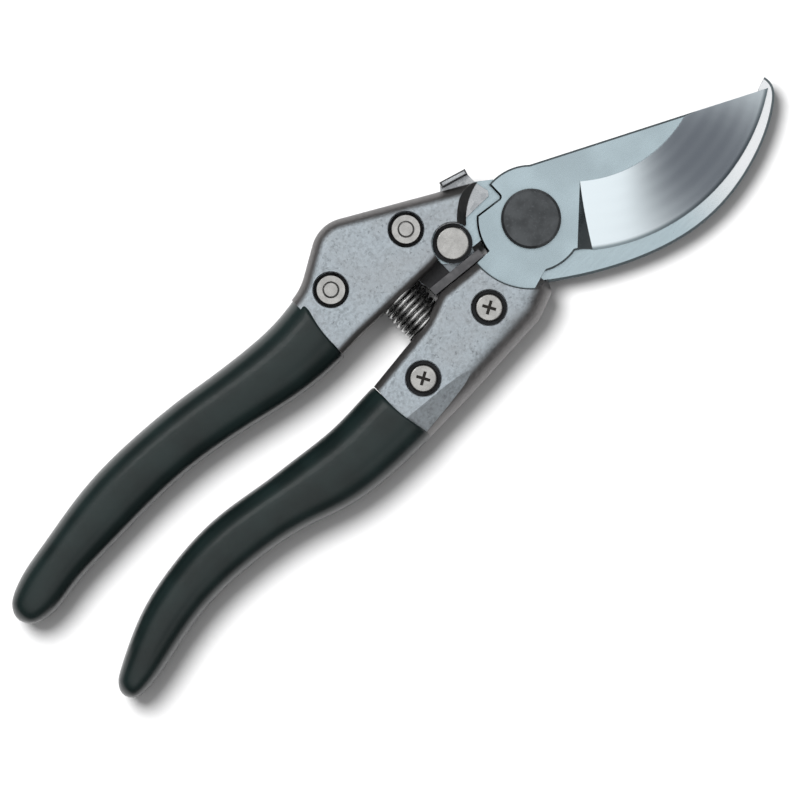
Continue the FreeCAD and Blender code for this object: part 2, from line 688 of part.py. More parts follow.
def build():
    os.makedirs("parts", exist_ok=True)
    for piece in (
            pivot_bolt, pivot_nut, pivot_lock_washer, pivot_spring_washer, thrust_shim, pivot_bush,
            cutting_blade, counter_blade, hook_handle, blade_handle, hook_grip, blade_grip,
            hook_bolts, hook_nuts, hook_washers, blade_screws, blade_nuts, blade_washers,
            latch_lever, latch_pin, latch_washer, latch_wave_washer, bumper, return_spring):
        write(piece.__name__, piece())


build()
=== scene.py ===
"""Pruning shears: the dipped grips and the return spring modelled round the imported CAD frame, with the
finish of every part and the studio they are shown in. Laid out as an add-on, and run as a script."""

import math

import bmesh
import bpy
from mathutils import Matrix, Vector


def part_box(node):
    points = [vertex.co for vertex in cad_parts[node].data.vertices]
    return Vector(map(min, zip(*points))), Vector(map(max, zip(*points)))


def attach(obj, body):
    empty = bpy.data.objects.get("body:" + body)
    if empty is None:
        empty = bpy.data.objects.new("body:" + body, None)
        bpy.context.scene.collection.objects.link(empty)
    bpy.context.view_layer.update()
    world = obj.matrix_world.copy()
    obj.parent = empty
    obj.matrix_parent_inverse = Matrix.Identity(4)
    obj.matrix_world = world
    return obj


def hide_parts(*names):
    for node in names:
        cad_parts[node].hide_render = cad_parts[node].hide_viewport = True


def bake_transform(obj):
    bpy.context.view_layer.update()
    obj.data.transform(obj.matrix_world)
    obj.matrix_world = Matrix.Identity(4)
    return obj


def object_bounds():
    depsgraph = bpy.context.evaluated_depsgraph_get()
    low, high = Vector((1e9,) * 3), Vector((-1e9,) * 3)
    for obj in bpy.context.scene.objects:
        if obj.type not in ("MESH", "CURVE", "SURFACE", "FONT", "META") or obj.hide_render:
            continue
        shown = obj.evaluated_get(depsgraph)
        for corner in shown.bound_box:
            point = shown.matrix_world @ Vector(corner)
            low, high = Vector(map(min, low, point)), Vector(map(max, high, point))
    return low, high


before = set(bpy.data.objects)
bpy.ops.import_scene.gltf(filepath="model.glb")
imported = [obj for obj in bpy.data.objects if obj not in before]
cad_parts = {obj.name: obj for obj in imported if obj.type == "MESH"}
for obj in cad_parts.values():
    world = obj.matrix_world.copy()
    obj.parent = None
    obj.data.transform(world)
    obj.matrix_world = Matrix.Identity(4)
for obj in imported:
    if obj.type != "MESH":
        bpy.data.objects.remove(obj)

CAD_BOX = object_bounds()

bl_info = {
    "name": "Pruning Shears",
    "version": (1, 0, 0),
    "blender": (4, 5, 0),
    "location": "3D View > Sidebar > Shears",
    "description": "Models a pair of shears' grips and spring, finishes every part and sets the studio",
    "category": "Object",
}

MM = 0.001
RIGHT_ANGLE = math.radians(90)
GRIND_CENTRE = (35.5 * MM, 21.2 * MM, 0.0)    # the middle of the circle that the blade's edge lies on
SEAM_RADIUS = 16.6 * MM                       # how far from the pivot the blade runs in under its casting


# ---------------------------------------------------------------- sizes and colours


class GripSettings(bpy.types.PropertyGroup):
    """The two dipped grips."""

    rings: bpy.props.IntProperty(
        name="Rings", description="Rings that shape a grip between its mouth and its end", default=15,
        min=8, max=40,
    )
    wall: bpy.props.FloatProperty(
        name="Wall", description="Thickness of the vinyl", default=1.5 * MM, min=0.5 * MM, unit="LENGTH"
    )
    squareness: bpy.props.FloatProperty(
        name="Squareness", description="How far a section's corners stand out, from round 0.7 to square 1",
        default=0.853, min=0.7, max=1.0, subtype="FACTOR",
    )
    mouth_reach: bpy.props.FloatProperty(
        name="Mouth Reach", description="How far the mouth runs on over the casting on its outer side",
        default=2.0 * MM, min=0.0, unit="LENGTH",
    )
    colour: bpy.props.FloatVectorProperty(
        name="Colour", description="Colour of the vinyl", default=(0.0040, 0.0080, 0.0078), subtype="COLOR",
        min=0, max=1,
    )


class SpringSettings(bpy.types.PropertyGroup):
    """The coil that opens the jaws."""

    turns: bpy.props.IntProperty(name="Turns", description="Turns of the coil", default=14, min=4, max=30)
    wire: bpy.props.FloatProperty(
        name="Wire", description="Thickness of the wire", default=1.1 * MM, min=0.3 * MM, unit="LENGTH"
    )


class FinishSettings(bpy.types.PropertyGroup):
    """Colours of the metal finishes."""

    steel: bpy.props.FloatVectorProperty(
        name="Blade Steel", description="Colour of the satin chrome", default=(0.455, 0.555, 0.60),
        subtype="COLOR", min=0, max=1,
    )
    casting: bpy.props.FloatVectorProperty(
        name="Casting", description="Colour of the tumbled aluminium", default=(0.42, 0.47, 0.508),
        subtype="COLOR", min=0, max=1,
    )
    nickel: bpy.props.FloatVectorProperty(
        name="Nickel", description="Colour of the plated fasteners", default=(0.49, 0.487, 0.475),
        subtype="COLOR", min=0, max=1,
    )


class StageSettings(bpy.types.PropertyGroup):
    """The floor, the lights and the camera."""

    heading: bpy.props.FloatProperty(
        name="Heading", description="Turn of the camera about the vertical", default=math.radians(-43.6),
        subtype="ANGLE",
    )
    field: bpy.props.FloatProperty(
        name="Field", description="Width that the camera takes in", default=192 * MM, min=50 * MM,
        unit="LENGTH",
    )
    lens: bpy.props.FloatProperty(
        name="Lens", description="Focal length", default=300, min=20, unit="CAMERA"
    )
    aim_x: bpy.props.FloatProperty(
        name="Aim X", description="Middle of the view along the shears", default=-52.7 * MM, unit="LENGTH"
    )
    aim_y: bpy.props.FloatProperty(
        name="Aim Y", description="Middle of the view across the shears", default=-9.8 * MM, unit="LENGTH"
    )
    key_power: bpy.props.FloatProperty(
        name="Key Power", description="Power of the main softbox in watts", default=27.0, min=0.0
    )
    glint_power: bpy.props.FloatProperty(
        name="Glint Power", description="Power in watts of the small softbox that only reflections show",
        default=0.6, min=0.0,
    )
    key_tilt: bpy.props.FloatProperty(
        name="Key Tilt", description="Angle of the main softbox off the vertical", default=math.radians(26),
        subtype="ANGLE",
    )


# ---------------------------------------------------------------- modelling by hand, in code


def begin_piece(name):
    """Names the primitive that was just added and opens it in edit mode with nothing selected."""
    piece = bpy.context.object
    piece.name = piece.data.name = name
    bpy.ops.object.mode_set(mode="EDIT")
    bpy.ops.mesh.select_all(action="DESELECT")
    return piece


def clear_selection():
    """Leaves nothing selected, so that the next operator acts on the next primitive alone."""
    bpy.ops.object.select_all(action="DESELECT")


def pick_corners(piece, chosen):
    """Selects just those corners of the open mesh whose place passes the test."""
    bpy.ops.mesh.select_mode(type="VERT")
    bpy.ops.mesh.select_all(action="DESELECT")
    sketch = bmesh.from_edit_mesh(piece.data)
    for corner in sketch.verts:
        corner.select_set(bool(chosen(corner.co)))
    sketch.select_flush(True)
    bmesh.update_edit_mesh(piece.data)


def pick_faces(piece, chosen):
    """Selects just those faces of the open mesh whose middle and normal pass the test."""
    bpy.ops.mesh.select_mode(type="FACE")
    bpy.ops.mesh.select_all(action="DESELECT")
    sketch = bmesh.from_edit_mesh(piece.data)
    for face in sketch.faces:
        face.select_set(bool(chosen(face.calc_center_median(), face.normal)))
    bmesh.update_edit_mesh(piece.data)


def settle(piece):
    """Puts the piece's place, turn and size into its mesh, with its object at the origin."""
    clear_selection()
    piece.select_set(True)
    bpy.context.view_layer.objects.active = piece
    bpy.ops.object.transform_apply(location=True, rotation=True, scale=True)


def shape_with(piece, kind, **settings):
    """Adds a modifier with these settings and applies it."""
    modifier = piece.modifiers.new(kind.title(), kind)
    for name, value in settings.items():
        setattr(modifier, name, value)
    bpy.context.view_layer.objects.active = piece
    bpy.ops.object.modifier_apply(modifier=modifier.name)


def close_edit():
    """Merges doubles, turns the faces outwards and leaves edit mode."""
    bpy.ops.mesh.select_all(action="SELECT")
    bpy.ops.mesh.remove_doubles(threshold=0.002 * MM)
    bpy.ops.mesh.normals_make_consistent(inside=False)
    bpy.ops.object.mode_set(mode="OBJECT")


def finish_piece(piece, body, material, slot, *replaced):
    """Gives a modelled piece its material and its place in the frame."""
    piece.data.materials.clear()
    piece.data.materials.append(material)
    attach(piece, body)
    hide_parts(*replaced)


def finish_node(material, *nodes):
    """Gives CAD nodes their material, in every slot that they have."""
    for name in nodes:
        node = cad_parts[name]
        if not node.material_slots:
            node.data.materials.append(material)
        for slot in node.material_slots:
            slot.material = material


class Section:
    """A CAD node's outline where a plane across the shears cuts it: its middle and its half sizes."""

    def __init__(self, node, x):
        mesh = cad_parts[node].data
        cuts = []
        for edge in mesh.edges:
            a, b = (mesh.vertices[i].co for i in edge.vertices)
            if a.x != b.x and (a.x - x) * (b.x - x) <= 0:
                cuts.append(a.lerp(b, (x - a.x) / (b.x - a.x)))
        across = [cut.y for cut in cuts]
        deep = [cut.z for cut in cuts]
        self.middle = Vector((x, (max(across) + min(across)) / 2, (max(deep) + min(deep)) / 2))
        self.half_width = (max(across) - min(across)) / 2
        self.half_depth = (max(deep) - min(deep)) / 2


# ---------------------------------------------------------------- materials


class Finish:
    """A material being made: its shader, with short calls for the nodes that the finishes share."""

    def __init__(self, name, constants):
        self.material = bpy.data.materials.new(name)
        self.material.use_nodes = True
        self.tree = self.material.node_tree
        self.shader = self.tree.nodes["Principled BSDF"]
        self.coordinates = self.tree.nodes.new("ShaderNodeTexCoord")
        self.place = self.coordinates.outputs["Object"]
        for socket, value in constants.items():
            self.shader.inputs[socket].default_value = value

    def add(self, kind, inputs, **settings):
        """A node with its settings, and each input linked or set."""
        node = self.tree.nodes.new(kind)
        for name, value in settings.items():
            setattr(node, name, value)
        for key, value in inputs.items():
            if isinstance(value, bpy.types.NodeSocket):
                self.tree.links.new(value, node.inputs[key])
            else:
                node.inputs[key].default_value = value
        return node

    def give(self, socket, value):
        """Feeds one of the shader's inputs."""
        self.tree.links.new(value, self.shader.inputs[socket])

    def noise(self, size, detail=3.0, roughness=0.5, place=None):
        """Noise whose grains are about this many metres across."""
        inputs = {"Vector": place or self.place, "Scale": 1 / size, "Detail": detail, "Roughness": roughness}
        return self.add("ShaderNodeTexNoise", inputs).outputs["Fac"]

    def stretched(self, along, place=None):
        """The place, with each axis divided by its share, so that a pattern runs long on it."""
        inputs = {"Vector": place or self.place, "Scale": tuple(1 / share for share in along)}
        return self.add("ShaderNodeMapping", inputs).outputs["Vector"]

    def rings(self, centre, pitch):
        """Turning marks: rings about an upright axis."""
        moved = self.add("ShaderNodeMapping", {"Vector": self.place, "Location": tuple(-c for c in centre)})
        # The wave repeats every 1/20 of a unit at a scale of 1.
        inputs = {
            "Vector": moved.outputs["Vector"], "Scale": 1 / (20 * pitch), "Distortion": 0.6, "Detail": 2.0,
        }
        wave = self.add(
            "ShaderNodeTexWave", inputs, wave_type="RINGS", rings_direction="Z", wave_profile="SIN"
        )
        return wave.outputs["Fac"]

    def ramp(self, value, low, high, at_low=0.0, at_high=1.0):
        """A value carried smoothly from one range to another, and held at its ends."""
        inputs = {"Value": value, "From Min": low, "From Max": high, "To Min": at_low, "To Max": at_high}
        return self.add("ShaderNodeMapRange", inputs, interpolation_type="SMOOTHSTEP").outputs["Result"]

    def sum(self, operation, a, b):
        """One arithmetic step."""
        return self.add("ShaderNodeMath", {0: a, 1: b}, operation=operation).outputs["Value"]

    def mix(self, share, first, second):
        """A colour between two colours."""
        node = self.add("ShaderNodeMix", {0: share}, data_type="RGBA")
        for key, colour in ((6, first), (7, second)):
            if isinstance(colour, bpy.types.NodeSocket):
                self.tree.links.new(colour, node.inputs[key])
            else:
                node.inputs[key].default_value = (*colour[:3], 1.0)
        return node.outputs[2]

    def split(self, vector):
        """The three parts of a vector."""
        return self.add("ShaderNodeSeparateXYZ", {"Vector": vector}).outputs

    def facing_up(self):
        """1 on faces that look straight up, 0 on walls and undersides."""
        return self.ramp(self.split(self.coordinates.outputs["Normal"])["Z"], 0.74, 0.86)

    def beyond(self, radius):
        """1 farther than this from the pivot's axis, 0 nearer."""
        x, y, _ = self.split(self.place)
        squares = self.sum("ADD", self.sum("POWER", x, 2.0), self.sum("POWER", y, 2.0))
        return self.ramp(self.sum("SQRT", squares, 0.0), radius - 0.15 * MM, radius + 0.15 * MM)

    def relief(self, height, depth, edge=0.0):
        """Bumps as deep as this, on edges that are broken by this radius."""
        inputs = {"Height": height, "Distance": depth, "Strength": 1.0}
        if edge:
            inputs["Normal"] = self.add("ShaderNodeBevel", {"Radius": edge}, samples=4).outputs["Normal"]
        self.give("Normal", self.add("ShaderNodeBump", inputs).outputs["Normal"])


def shade(colour, share):
    """A colour made darker or lighter."""
    return tuple(min(1.0, part * share) for part in colour)


def blade_steel(colour):
    """Satin chrome flats, a polished hollow grind with fine wheel marks, and a line of painted shade along
    the edge, with painted shade also on the walls and in the seam under the casting.
    """
    steel = Finish("blade_steel", {"Metallic": 1.0})
    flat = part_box("cutting_blade")[1].z
    edge_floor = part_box("cutting_blade")[0].z
    x, _, height = steel.split(steel.place)
    up = steel.facing_up()
    below_flat = steel.ramp(height, flat - 0.06 * MM, flat - 0.01 * MM, 1.0, 0.0)
    ground = steel.sum("MULTIPLY", below_flat, up)
    # A line of painted shade lies on the land along the cutting edge.
    on_land = steel.ramp(height, edge_floor + 0.38 * MM, edge_floor + 0.5 * MM, 1.0, 0.0)
    edge = steel.sum("MULTIPLY", on_land, up)
    satin = steel.noise(0.9 * MM, detail=4.0, roughness=0.6)
    streaks = steel.noise(0.35 * MM, detail=4.0, place=steel.stretched((9.0, 1.0, 1.0)))
    cloud = steel.noise(14 * MM, detail=2.0)
    body = steel.mix(steel.ramp(cloud, 0.35, 0.65), shade(colour, 0.88), shade(colour, 1.05))
    body = steel.mix(steel.ramp(streaks, 0.3, 0.75, 0.0, 0.25), body, shade(colour, 0.88))
    # Painted shade lies in the seam where the flat runs in under the casting.
    seam_shade = steel.sum("MULTIPLY", steel.beyond(SEAM_RADIUS), steel.ramp(x, -2 * MM, -1 * MM, 1.0, 0.0))
    body = steel.mix(seam_shade, body, shade(colour, 0.12))
    # Walls and chamfers are painted dark as shade, for the dark outline along the blade's edges.
    wall = steel.mix(up, shade(colour, 0.22), body)
    polished = steel.mix(ground, wall, (0.745, 0.825, 0.865))
    steel.give("Base Color", steel.mix(edge, polished, shade(colour, 0.5)))
    rough_flat = steel.ramp(satin, 0.25, 0.75, 0.24, 0.29)
    wheel = steel.rings(GRIND_CENTRE, 0.55 * MM)
    rough_ground = steel.ramp(wheel, 0.0, 1.0, 0.09, 0.11)
    roughness = steel.add("ShaderNodeMix", {0: ground, 2: rough_flat, 3: rough_ground}, data_type="FLOAT")
    steel.give("Roughness", roughness.outputs[0])
    steel.relief(streaks, 0.0002 * MM, edge=0.12 * MM)
    return steel.material


def counter_steel(colour):
    """Satin steel that is ground brighter and duller towards the hook's tip, the brighter colour there partly
    a painted highlight, with painted shade on its walls.
    """
    steel = Finish("counter_steel", {"Metallic": 1.0})
    low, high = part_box("counter_blade")
    satin = steel.noise(0.45 * MM, detail=6.0, roughness=0.7)
    streaks = steel.noise(0.4 * MM, detail=4.0, place=steel.stretched((7.0, 1.0, 1.0)))
    along = steel.ramp(steel.split(steel.place)["X"], 0.35 * high.x, 0.75 * high.x)
    up = steel.facing_up()
    body = steel.mix(steel.ramp(streaks, 0.3, 0.75, 0.0, 0.5), colour, shade(colour, 0.85))
    # Towards the tip the ground steel is lightened to near white, partly as a painted highlight.
    bright = steel.mix(along, body, (0.88, 0.90, 0.92))
    # The walls and chamfers are painted dark as shade.
    steel.give("Base Color", steel.mix(up, shade(colour, 0.3), bright))
    dull = steel.ramp(along, 0.0, 1.0, 0.24, 0.3)
    steel.give("Roughness", steel.sum("ADD", dull, steel.ramp(satin, 0.3, 0.7, -0.04, 0.04)))
    steel.relief(steel.sum("ADD", satin, streaks), 0.0006 * MM, edge=0.12 * MM)
    return steel.material


def cast_alloy(colour):
    """Die-cast aluminium after tumbling: mottled, finely pitted and worn brighter on the high grains."""
    alloy = Finish("cast_alloy", {"Metallic": 0.92})
    mottle = alloy.noise(2.2 * MM, detail=6.0, roughness=0.7)
    grain = alloy.noise(0.8 * MM, detail=5.0, roughness=0.65)
    broad = alloy.noise(12 * MM, detail=2.0)
    pits = alloy.ramp(alloy.noise(0.7 * MM, detail=3.0, roughness=0.6), 0.60, 0.74)
    tone = alloy.mix(alloy.ramp(mottle, 0.34, 0.66), shade(colour, 0.68), shade(colour, 1.06))
    tone = alloy.mix(alloy.ramp(grain, 0.36, 0.66, 0.0, 0.9), tone, shade(colour, 1.28))
    tone = alloy.mix(alloy.ramp(broad, 0.3, 0.7, 0.0, 0.35), tone, shade((0.46, 0.47, 0.48), 0.85))
    tone = alloy.mix(alloy.sum("MULTIPLY", pits, 0.07), tone, shade(colour, 0.45))
    # The flat faces are rubbed bright, and the rounded sides keep their darker cast skin; the sides' darkness
    # is partly painted shade, as they turn from the light overhead.
    rubbed = alloy.ramp(alloy.split(alloy.coordinates.outputs["Normal"])["Z"], 0.82, 0.998)
    skin = alloy.mix(mottle, (0.145, 0.140, 0.140), (0.215, 0.210, 0.208))
    alloy.give("Base Color", alloy.mix(rubbed, skin, tone))
    alloy.give("Roughness", alloy.ramp(alloy.sum("ADD", grain, mottle), 0.7, 1.3, 0.36, 0.52))
    rise = alloy.sum("SUBTRACT", alloy.sum("ADD", grain, mottle), pits)
    alloy.relief(rise, 0.05 * MM, edge=0.25 * MM)
    return alloy.material


def grip_vinyl(colour):
    """Dipped vinyl: glossy, with the faint waviness of a skin that ran before it set."""
    vinyl = Finish("grip_vinyl", {
        "Coat Weight": 0.12, "Coat Roughness": 0.06, "Coat IOR": 1.5, "IOR": 1.5, "Specular IOR Level": 0.36,
    })
    runs = vinyl.noise(2.6 * MM, detail=2.0, place=vinyl.stretched((6.0, 1.0, 1.0)))
    skin = vinyl.noise(0.8 * MM, detail=3.0)
    specks = vinyl.ramp(vinyl.noise(0.35 * MM, detail=2.0), 0.66, 0.74)
    cloud = vinyl.ramp(vinyl.noise(9 * MM, detail=3.0), 0.3, 0.7)
    tone = vinyl.mix(cloud, shade(colour, 0.8), shade(colour, 1.25))
    vinyl.give("Base Color", vinyl.mix(vinyl.sum("MULTIPLY", specks, 0.1), tone, shade(colour, 2.0)))
    vinyl.give("Roughness", vinyl.ramp(skin, 0.3, 0.7, 0.30, 0.38))
    vinyl.relief(runs, 0.008 * MM)
    return vinyl.material


def bright_nickel(colour, recess=None):
    """Bright nickel plate with soft handling marks, and painted shade below the height of a recess."""
    plate = Finish("nickel" if recess is None else "nickel_recessed", {"Metallic": 1.0})
    marks = plate.noise(0.5 * MM, detail=5.0, roughness=0.65)
    cloud = plate.noise(2.2 * MM, detail=2.0)
    tone = plate.mix(plate.ramp(cloud, 0.3, 0.7), shade(colour, 0.88), shade(colour, 1.10))
    tone = plate.mix(plate.ramp(marks, 0.55, 0.8, 0.0, 0.5), tone, shade(colour, 0.6))
    if recess is not None:
        # Below the height of the recess the plate is painted near black as shade.
        deep = plate.ramp(plate.split(plate.place)["Z"], recess - 0.15 * MM, recess, 1.0, 0.0)
        tone = plate.mix(deep, tone, (0.035, 0.032, 0.030))
    plate.give("Base Color", tone)
    plate.give("Roughness", plate.ramp(marks, 0.3, 0.7, 0.20, 0.34))
    plate.relief(marks, 0.006 * MM, edge=0.1 * MM)
    return plate.material


def black_oxide(name, tone, axis=None, pitch=0.3 * MM):
    """Blackened steel, with turning marks where an axis is given, rubbed greyer on its high spots."""
    oxide = Finish(name, {"Metallic": 0.85})
    rub = oxide.noise(0.7 * MM, detail=5.0, roughness=0.65)
    cloud = oxide.noise(3.5 * MM, detail=2.0)
    colour = oxide.mix(oxide.ramp(cloud, 0.3, 0.7), shade(tone, 0.8), shade(tone, 1.25))
    oxide.give("Base Color", oxide.mix(oxide.ramp(rub, 0.5, 0.8, 0.0, 0.6), colour, shade(tone, 2.2)))
    oxide.give("Roughness", oxide.ramp(rub, 0.3, 0.7, 0.34, 0.48))
    height = rub if axis is None else oxide.sum("ADD", rub, oxide.rings(axis, pitch))
    oxide.relief(height, 0.006 * MM, edge=0.15 * MM)
    return oxide.material


def spring_steel():
    """Bright drawn wire."""
    wire = Finish("spring_steel", {"Metallic": 1.0})
    lines = wire.noise(0.25 * MM, detail=4.0, place=wire.stretched((1.0, 5.0, 1.0)))
    tone = wire.mix(wire.ramp(lines, 0.3, 0.7), (0.42, 0.42, 0.42), (0.72, 0.72, 0.71))
    wire.give("Base Color", tone)
    wire.give("Roughness", wire.ramp(lines, 0.3, 0.7, 0.18, 0.30))
    wire.relief(lines, 0.004 * MM)
    return wire.material


def lever_steel():
    """Zinc-plated pressed steel with a faint spangle."""
    plate = Finish("lever_steel", {"Metallic": 1.0})
    cells = plate.add("ShaderNodeTexVoronoi", {"Vector": plate.place, "Scale": 1 / (1.6 * MM)})
    spangle = plate.split(cells.outputs["Color"])["X"]
    marks = plate.noise(0.4 * MM, detail=5.0, roughness=0.6)
    tone = plate.mix(spangle, (0.40, 0.42, 0.44), (0.54, 0.56, 0.58))
    # Walls and undersides are painted near black as shade.
    plate.give("Base Color", plate.mix(plate.facing_up(), (0.085, 0.085, 0.09), tone))
    plate.give("Roughness", plate.ramp(marks, 0.3, 0.7, 0.24, 0.40))
    plate.relief(marks, 0.008 * MM, edge=0.12 * MM)
    return plate.material


def stop_rubber():
    """Black moulded rubber, dusty on the top of the bar, and painted near black as shade down in the slot."""
    rubber = Finish("stop_rubber", {"Specular IOR Level": 0.4})
    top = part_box("bumper")[1].z
    skin = rubber.noise(0.3 * MM, detail=4.0, roughness=0.6)
    bloom = rubber.noise(2.0 * MM, detail=3.0)
    dust = rubber.mix(rubber.ramp(bloom, 0.35, 0.75), (0.040, 0.040, 0.042), (0.066, 0.065, 0.068))
    # More than a millimetre below the top, the rubber is painted near black as shade.
    high = rubber.ramp(rubber.split(rubber.place)["Z"], top - 1.0 * MM, top - 0.2 * MM)
    rubber.give("Base Color", rubber.mix(high, (0.012, 0.012, 0.013), dust))
    rubber.give("Roughness", rubber.ramp(skin, 0.3, 0.7, 0.55, 0.75))
    rubber.relief(skin, 0.02 * MM, edge=0.35 * MM)
    return rubber.material


def shim_nylon():
    """Natural nylon, a little milky."""
    nylon = Finish("shim_nylon", {"Subsurface Weight": 0.2, "Subsurface Scale": 0.5 * MM})
    cloud = nylon.noise(1.8 * MM, detail=3.0)
    nylon.give("Base Color", nylon.mix(nylon.ramp(cloud, 0.3, 0.7), (0.62, 0.60, 0.53), (0.74, 0.72, 0.66)))
    nylon.give("Roughness", nylon.ramp(cloud, 0.3, 0.7, 0.40, 0.55))
    nylon.relief(cloud, 0.01 * MM)
    return nylon.material


def bearing_bronze():
    """Sintered bronze with open pores."""
    bronze = Finish("bearing_bronze", {"Metallic": 1.0})
    pores = bronze.ramp(bronze.noise(0.25 * MM, detail=3.0), 0.58, 0.68)
    cloud = bronze.noise(2.0 * MM, detail=2.0)
    tone = bronze.mix(bronze.ramp(cloud, 0.3, 0.7), (0.50, 0.31, 0.14), (0.66, 0.44, 0.22))
    bronze.give("Base Color", bronze.mix(pores, tone, (0.10, 0.06, 0.03)))
    bronze.give("Roughness", bronze.ramp(cloud, 0.3, 0.7, 0.30, 0.42))
    bronze.relief(bronze.sum("SUBTRACT", 1.0, pores), 0.02 * MM)
    return bronze.material


# ---------------------------------------------------------------- pieces


def dip_grip(name, node, body, material, settings):
    """A hollow vinyl sleeve: a squared ring drawn out along the CAD grip's sections to a rounded end, given
    its wall and then smoothed. Its mouth runs on over the casting at the grip's outer side."""
    low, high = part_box(node)
    length = high.x - low.x
    outer = 1 if Section(node, high.x - 0.1 * MM).middle.y > 0 else -1
    # A smoothed ring of eight corners comes out smaller than the ring that it was made from.
    swell = 1 / (2 / 3 + settings.squareness / 3)
    ends = (0.955, 0.982)
    shares = [step / (settings.rings - 2) * 0.90 for step in range(settings.rings - 1)]
    shares = [shares[0], 0.012, *shares[1:], *ends]
    sections = [Section(node, high.x - length * min(max(share, 0.0005), 0.999)) for share in shares]

    clear_selection()
    first = sections[0]
    bpy.ops.mesh.primitive_plane_add(size=2, location=first.middle, rotation=(0, -RIGHT_ANGLE, 0))
    piece = begin_piece(name)
    settle_in_edit(piece)
    bpy.ops.mesh.select_all(action="SELECT")
    bpy.ops.mesh.subdivide(number_cuts=1)
    middle = first.middle
    pick_corners(piece, lambda co: abs(co.y - middle.y) > 0.5 and abs(co.z - middle.z) > 0.5)
    bpy.ops.transform.resize(value=(1, settings.squareness, settings.squareness), center_override=middle)
    bpy.ops.mesh.select_all(action="SELECT")
    bpy.ops.transform.resize(
        value=(1, first.half_width * swell, first.half_depth * swell), center_override=middle
    )
    for before, after in zip(sections, sections[1:]):
        step = after.middle - before.middle
        bpy.ops.mesh.extrude_region_move(TRANSFORM_OT_translate={"value": step})
        grow = (1, after.half_width / before.half_width, after.half_depth / before.half_depth)
        bpy.ops.transform.resize(value=grow, center_override=after.middle)
    # The middle of the end is pushed out, so that the smoothed end is domed.
    tip = sections[-1].middle
    pick_corners(piece, lambda co: (co - tip).length < 0.2 * MM)
    bpy.ops.transform.translate(value=(low.x - tip.x - 0.6 * MM, 0, 0))

    # The mouth is opened, and its outer side runs on over the casting.
    pick_faces(piece, lambda co, normal: abs(co.x - first.middle.x) < 0.02 * MM)
    bpy.ops.mesh.delete(type="FACE")
    near = first.middle.x - 2.0 * MM
    side = first.middle.y + outer * 0.5 * first.half_width
    pick_corners(piece, lambda co: co.x > near and (co.y - side) * outer > 0)
    bpy.ops.transform.translate(value=(settings.mouth_reach, 0, 0))
    bpy.ops.mesh.select_all(action="SELECT")
    bpy.ops.mesh.normals_make_consistent(inside=False)
    bpy.ops.object.mode_set(mode="OBJECT")
    shape_with(piece, "SOLIDIFY", thickness=settings.wall, offset=-1, use_even_offset=True, use_rim=True)
    shape_with(piece, "SUBSURF", levels=3, render_levels=3)
    bpy.ops.object.shade_smooth()
    settle(piece)
    finish_piece(piece, body, material, "grip_vinyl", node)
    return piece


def settle_in_edit(piece):
    """Applies the primitive's turn, so that edit mode's axes are the frame's, and comes back to edit mode."""
    bpy.ops.object.mode_set(mode="OBJECT")
    settle(piece)
    bpy.ops.object.mode_set(mode="EDIT")


def wind_spring(material, settings):
    """The return spring: a ring of wire wound by a screw about the coil's axis, its ends ground flat."""
    low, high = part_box("return_spring")
    axis = Vector(((low.x + high.x) / 2, 0, (low.z + high.z) / 2))
    coil = (high.x - low.x) / 2 - settings.wire / 2
    length = high.y - low.y
    # The wire starts and ends wholly beyond the planes that grind the ends flat.
    beyond = 0.6 * settings.wire
    pitch = (length + 2 * beyond) / settings.turns
    start = low.y - beyond
    clear_selection()
    bpy.ops.mesh.primitive_circle_add(
        vertices=12, radius=settings.wire / 2, location=(axis.x + coil, start, axis.z), fill_type="NOTHING"
    )
    piece = begin_piece("spring_coil")
    bpy.ops.object.mode_set(mode="OBJECT")
    # The screw winds about the object's own axis, so the origin is moved onto the coil's.
    bpy.context.scene.cursor.location = (axis.x, start, axis.z)
    bpy.ops.object.origin_set(type="ORIGIN_CURSOR")
    shape_with(
        piece, "SCREW", axis="Y", angle=math.tau, screw_offset=pitch, iterations=settings.turns, steps=28,
        render_steps=28, use_merge_vertices=True, merge_threshold=0.001 * MM,
    )
    settle(piece)
    bpy.ops.object.mode_set(mode="EDIT")
    for place, facing in ((low.y, 1), (high.y, -1)):
        bpy.ops.mesh.select_all(action="SELECT")
        bpy.ops.mesh.bisect(
            plane_co=(axis.x, place, axis.z), plane_no=(0, facing, 0), use_fill=True, clear_inner=True,
            threshold=0.0001 * MM,
        )
    bpy.ops.mesh.select_all(action="SELECT")
    bpy.ops.mesh.fill_holes(sides=0)
    close_edit()
    piece.data.materials.append(material)
    bpy.ops.object.shade_smooth_by_angle(angle=math.radians(40))
    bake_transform(piece)
    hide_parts("return_spring")
    return piece


# ---------------------------------------------------------------- operators


class SHEARS_OT_finish_blades(bpy.types.Operator):
    """Finish the cutting blade and the hooked counter blade"""

    bl_idname = "shears.finish_blades"
    bl_label = "Finish Blades"

    def execute(self, context):
        colour = tuple(context.scene.shears_finishes.steel)
        finish_node(blade_steel(colour), "cutting_blade")
        finish_node(counter_steel(colour), "counter_blade")
        return {"FINISHED"}


class SHEARS_OT_finish_castings(bpy.types.Operator):
    """Finish the two tumbled handle castings"""

    bl_idname = "shears.finish_castings"
    bl_label = "Finish Castings"

    def execute(self, context):
        colour = tuple(context.scene.shears_finishes.casting)
        finish_node(cast_alloy(colour), "hook_handle", "blade_handle")
        return {"FINISHED"}


